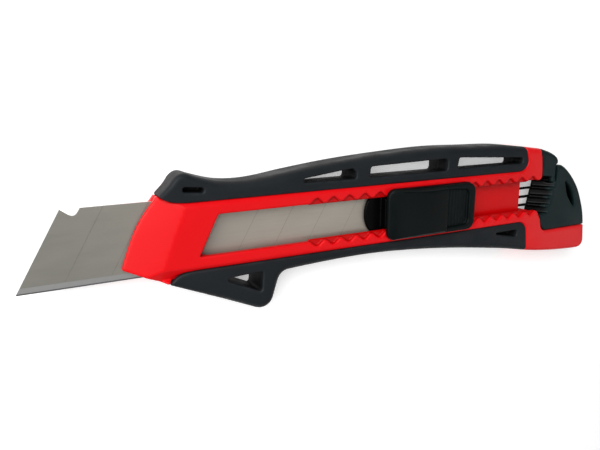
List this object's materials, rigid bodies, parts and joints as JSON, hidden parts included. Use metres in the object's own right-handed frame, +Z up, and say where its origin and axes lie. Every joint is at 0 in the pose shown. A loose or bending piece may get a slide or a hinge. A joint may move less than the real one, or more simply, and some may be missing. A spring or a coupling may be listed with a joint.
{
  "type": "utility knife",
  "caption": "Snap-off utility knife with a toothed auto-lock slot, a thumb slider, soft grips with a finger guard and a ribbed pull-off end cap.",
  "frame": {"origin": "under the middle of the knife's box, on the plane of its flat back", "axes": "+Z up from the flat back to the slider's face, the blade points to -X, +X to the tail, +Y to the spine"},
  "size_m": [0.1808, 0.0388, 0.0139],
  "materials": {
    "red_plastic": "satin moulded red",
    "grip_rubber": "fine matt grain",
    "blade_steel": "ground and lightly oiled",
    "spring_steel": "bright rolled",
    "black_plastic": "satin moulded black"
  },
  "bodies": {
    "handle": {"front_shell": "red_plastic", "back_shell": "red_plastic", "blade_track": "red_plastic", "spine_grip": "grip_rubber", "belly_grip": "grip_rubber", "palm_pad": "grip_rubber"},
    "carriage": {"blade": "blade_steel", "blade_carrier": "black_plastic", "blade_stud": "spring_steel", "lock_spring": "spring_steel"},
    "slider": {"thumb_slider": "black_plastic"},
    "tail_cap": {"end_cap": "black_plastic"},
    "latch": {"cap_latch": "black_plastic"}
  },
  "joints": [
    {"name": "blade_slide", "type": "slide", "parent": "handle", "child": "carriage", "axis": [-1, 0, 0], "range_m": [-0.03, 0.045], "deforming": ["lock_spring"]},
    {"name": "lock_release", "type": "slide", "parent": "carriage", "child": "slider", "axis": [-1, 0, 0], "range_m": [-0.001, 0.001], "stiffness_N_per_m": 1500, "deforming": ["lock_spring"]},
    {"name": "cap_pull", "type": "slide", "parent": "handle", "child": "tail_cap", "axis": [1, 0, 0], "range_m": [0, 0.032]},
    {"name": "latch_flex", "type": "hinge", "parent": "tail_cap", "child": "latch", "pos_m": [0.0716, 0.00632, 0.005], "axis": [0, 0, -1], "range_deg": [0, 6], "stiffness_Nm_per_rad": 0.3}
  ]
}
